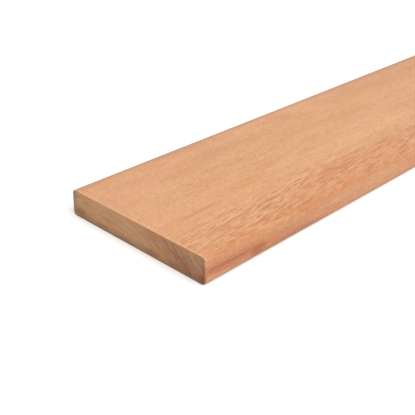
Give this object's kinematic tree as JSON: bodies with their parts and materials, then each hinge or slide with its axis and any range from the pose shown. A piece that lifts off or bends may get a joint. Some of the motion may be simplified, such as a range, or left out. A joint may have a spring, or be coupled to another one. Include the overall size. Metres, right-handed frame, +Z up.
{
  "type": "decking board",
  "caption": "Planed hardwood decking board, smooth on both faces, with rounded long edges and square-sawn ends.",
  "frame": {"origin": "middle of the underside, half way along the board and half way across it", "axes": "+X along the board, away from the end that is seen square on; +Y across the width, from the near long edge to the far one; +Z up through the thickness, out of the walking face"},
  "size_m": [1.8, 0.14, 0.022],
  "materials": {
    "planed_hardwood": "matte"
  },
  "bodies": {
    "root": {"deck_board": "planed_hardwood"}
  },
  "joints": []
}
